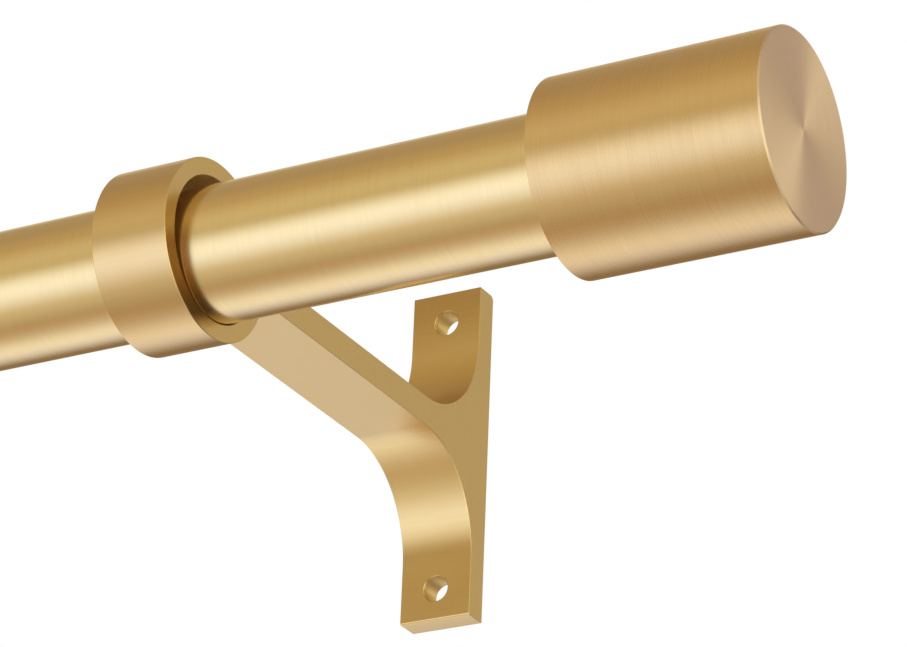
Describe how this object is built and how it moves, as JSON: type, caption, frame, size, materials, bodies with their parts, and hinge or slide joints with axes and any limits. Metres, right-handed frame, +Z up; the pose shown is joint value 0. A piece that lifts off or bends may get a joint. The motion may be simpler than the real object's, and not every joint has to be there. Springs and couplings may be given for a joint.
{
  "type": "extendable curtain rod",
  "caption": "Telescoping curtain rod with cylinder finials, carried by ring brackets that stand off the wall.",
  "frame": {"origin": "middle of the right-hand bracket's wall plate, on the wall, at the height of its ring's centre", "axes": "+X along the rod to the finial of the fixed half, +Y at the wall, +Z up"},
  "size_m": [0.7986, 0.1213, 0.0726],
  "materials": {
    "tube": "satin brass coating, brushed",
    "bracket": "satin brass coating",
    "finial": "satin brass coating, turned and brushed round",
    "screw": "dark oxide",
    "glide": "moulded nylon in a brass tone",
    "plug": "natural moulded nylon"
  },
  "bodies": {
    "fixed_half": {"bracket_right": "bracket", "bracket_right_set_screw": "screw", "outer_tube": "tube", "mouth_bush": "glide", "finial_right": "finial", "finial_right_set_screw": "screw"},
    "sliding_half": {"inner_tube": "tube", "glide_plug": "plug", "finial_left_sleeve": "plug", "finial_left": "finial", "finial_left_set_screw": "screw", "bracket_left": "bracket", "bracket_left_set_screw": "screw"}
  },
  "joints": [
    {"name": "tube_extension", "type": "slide", "parent": "fixed_half", "child": "sliding_half", "axis": [-1, 0, 0], "range_m": [0, 0.508]}
  ]
}
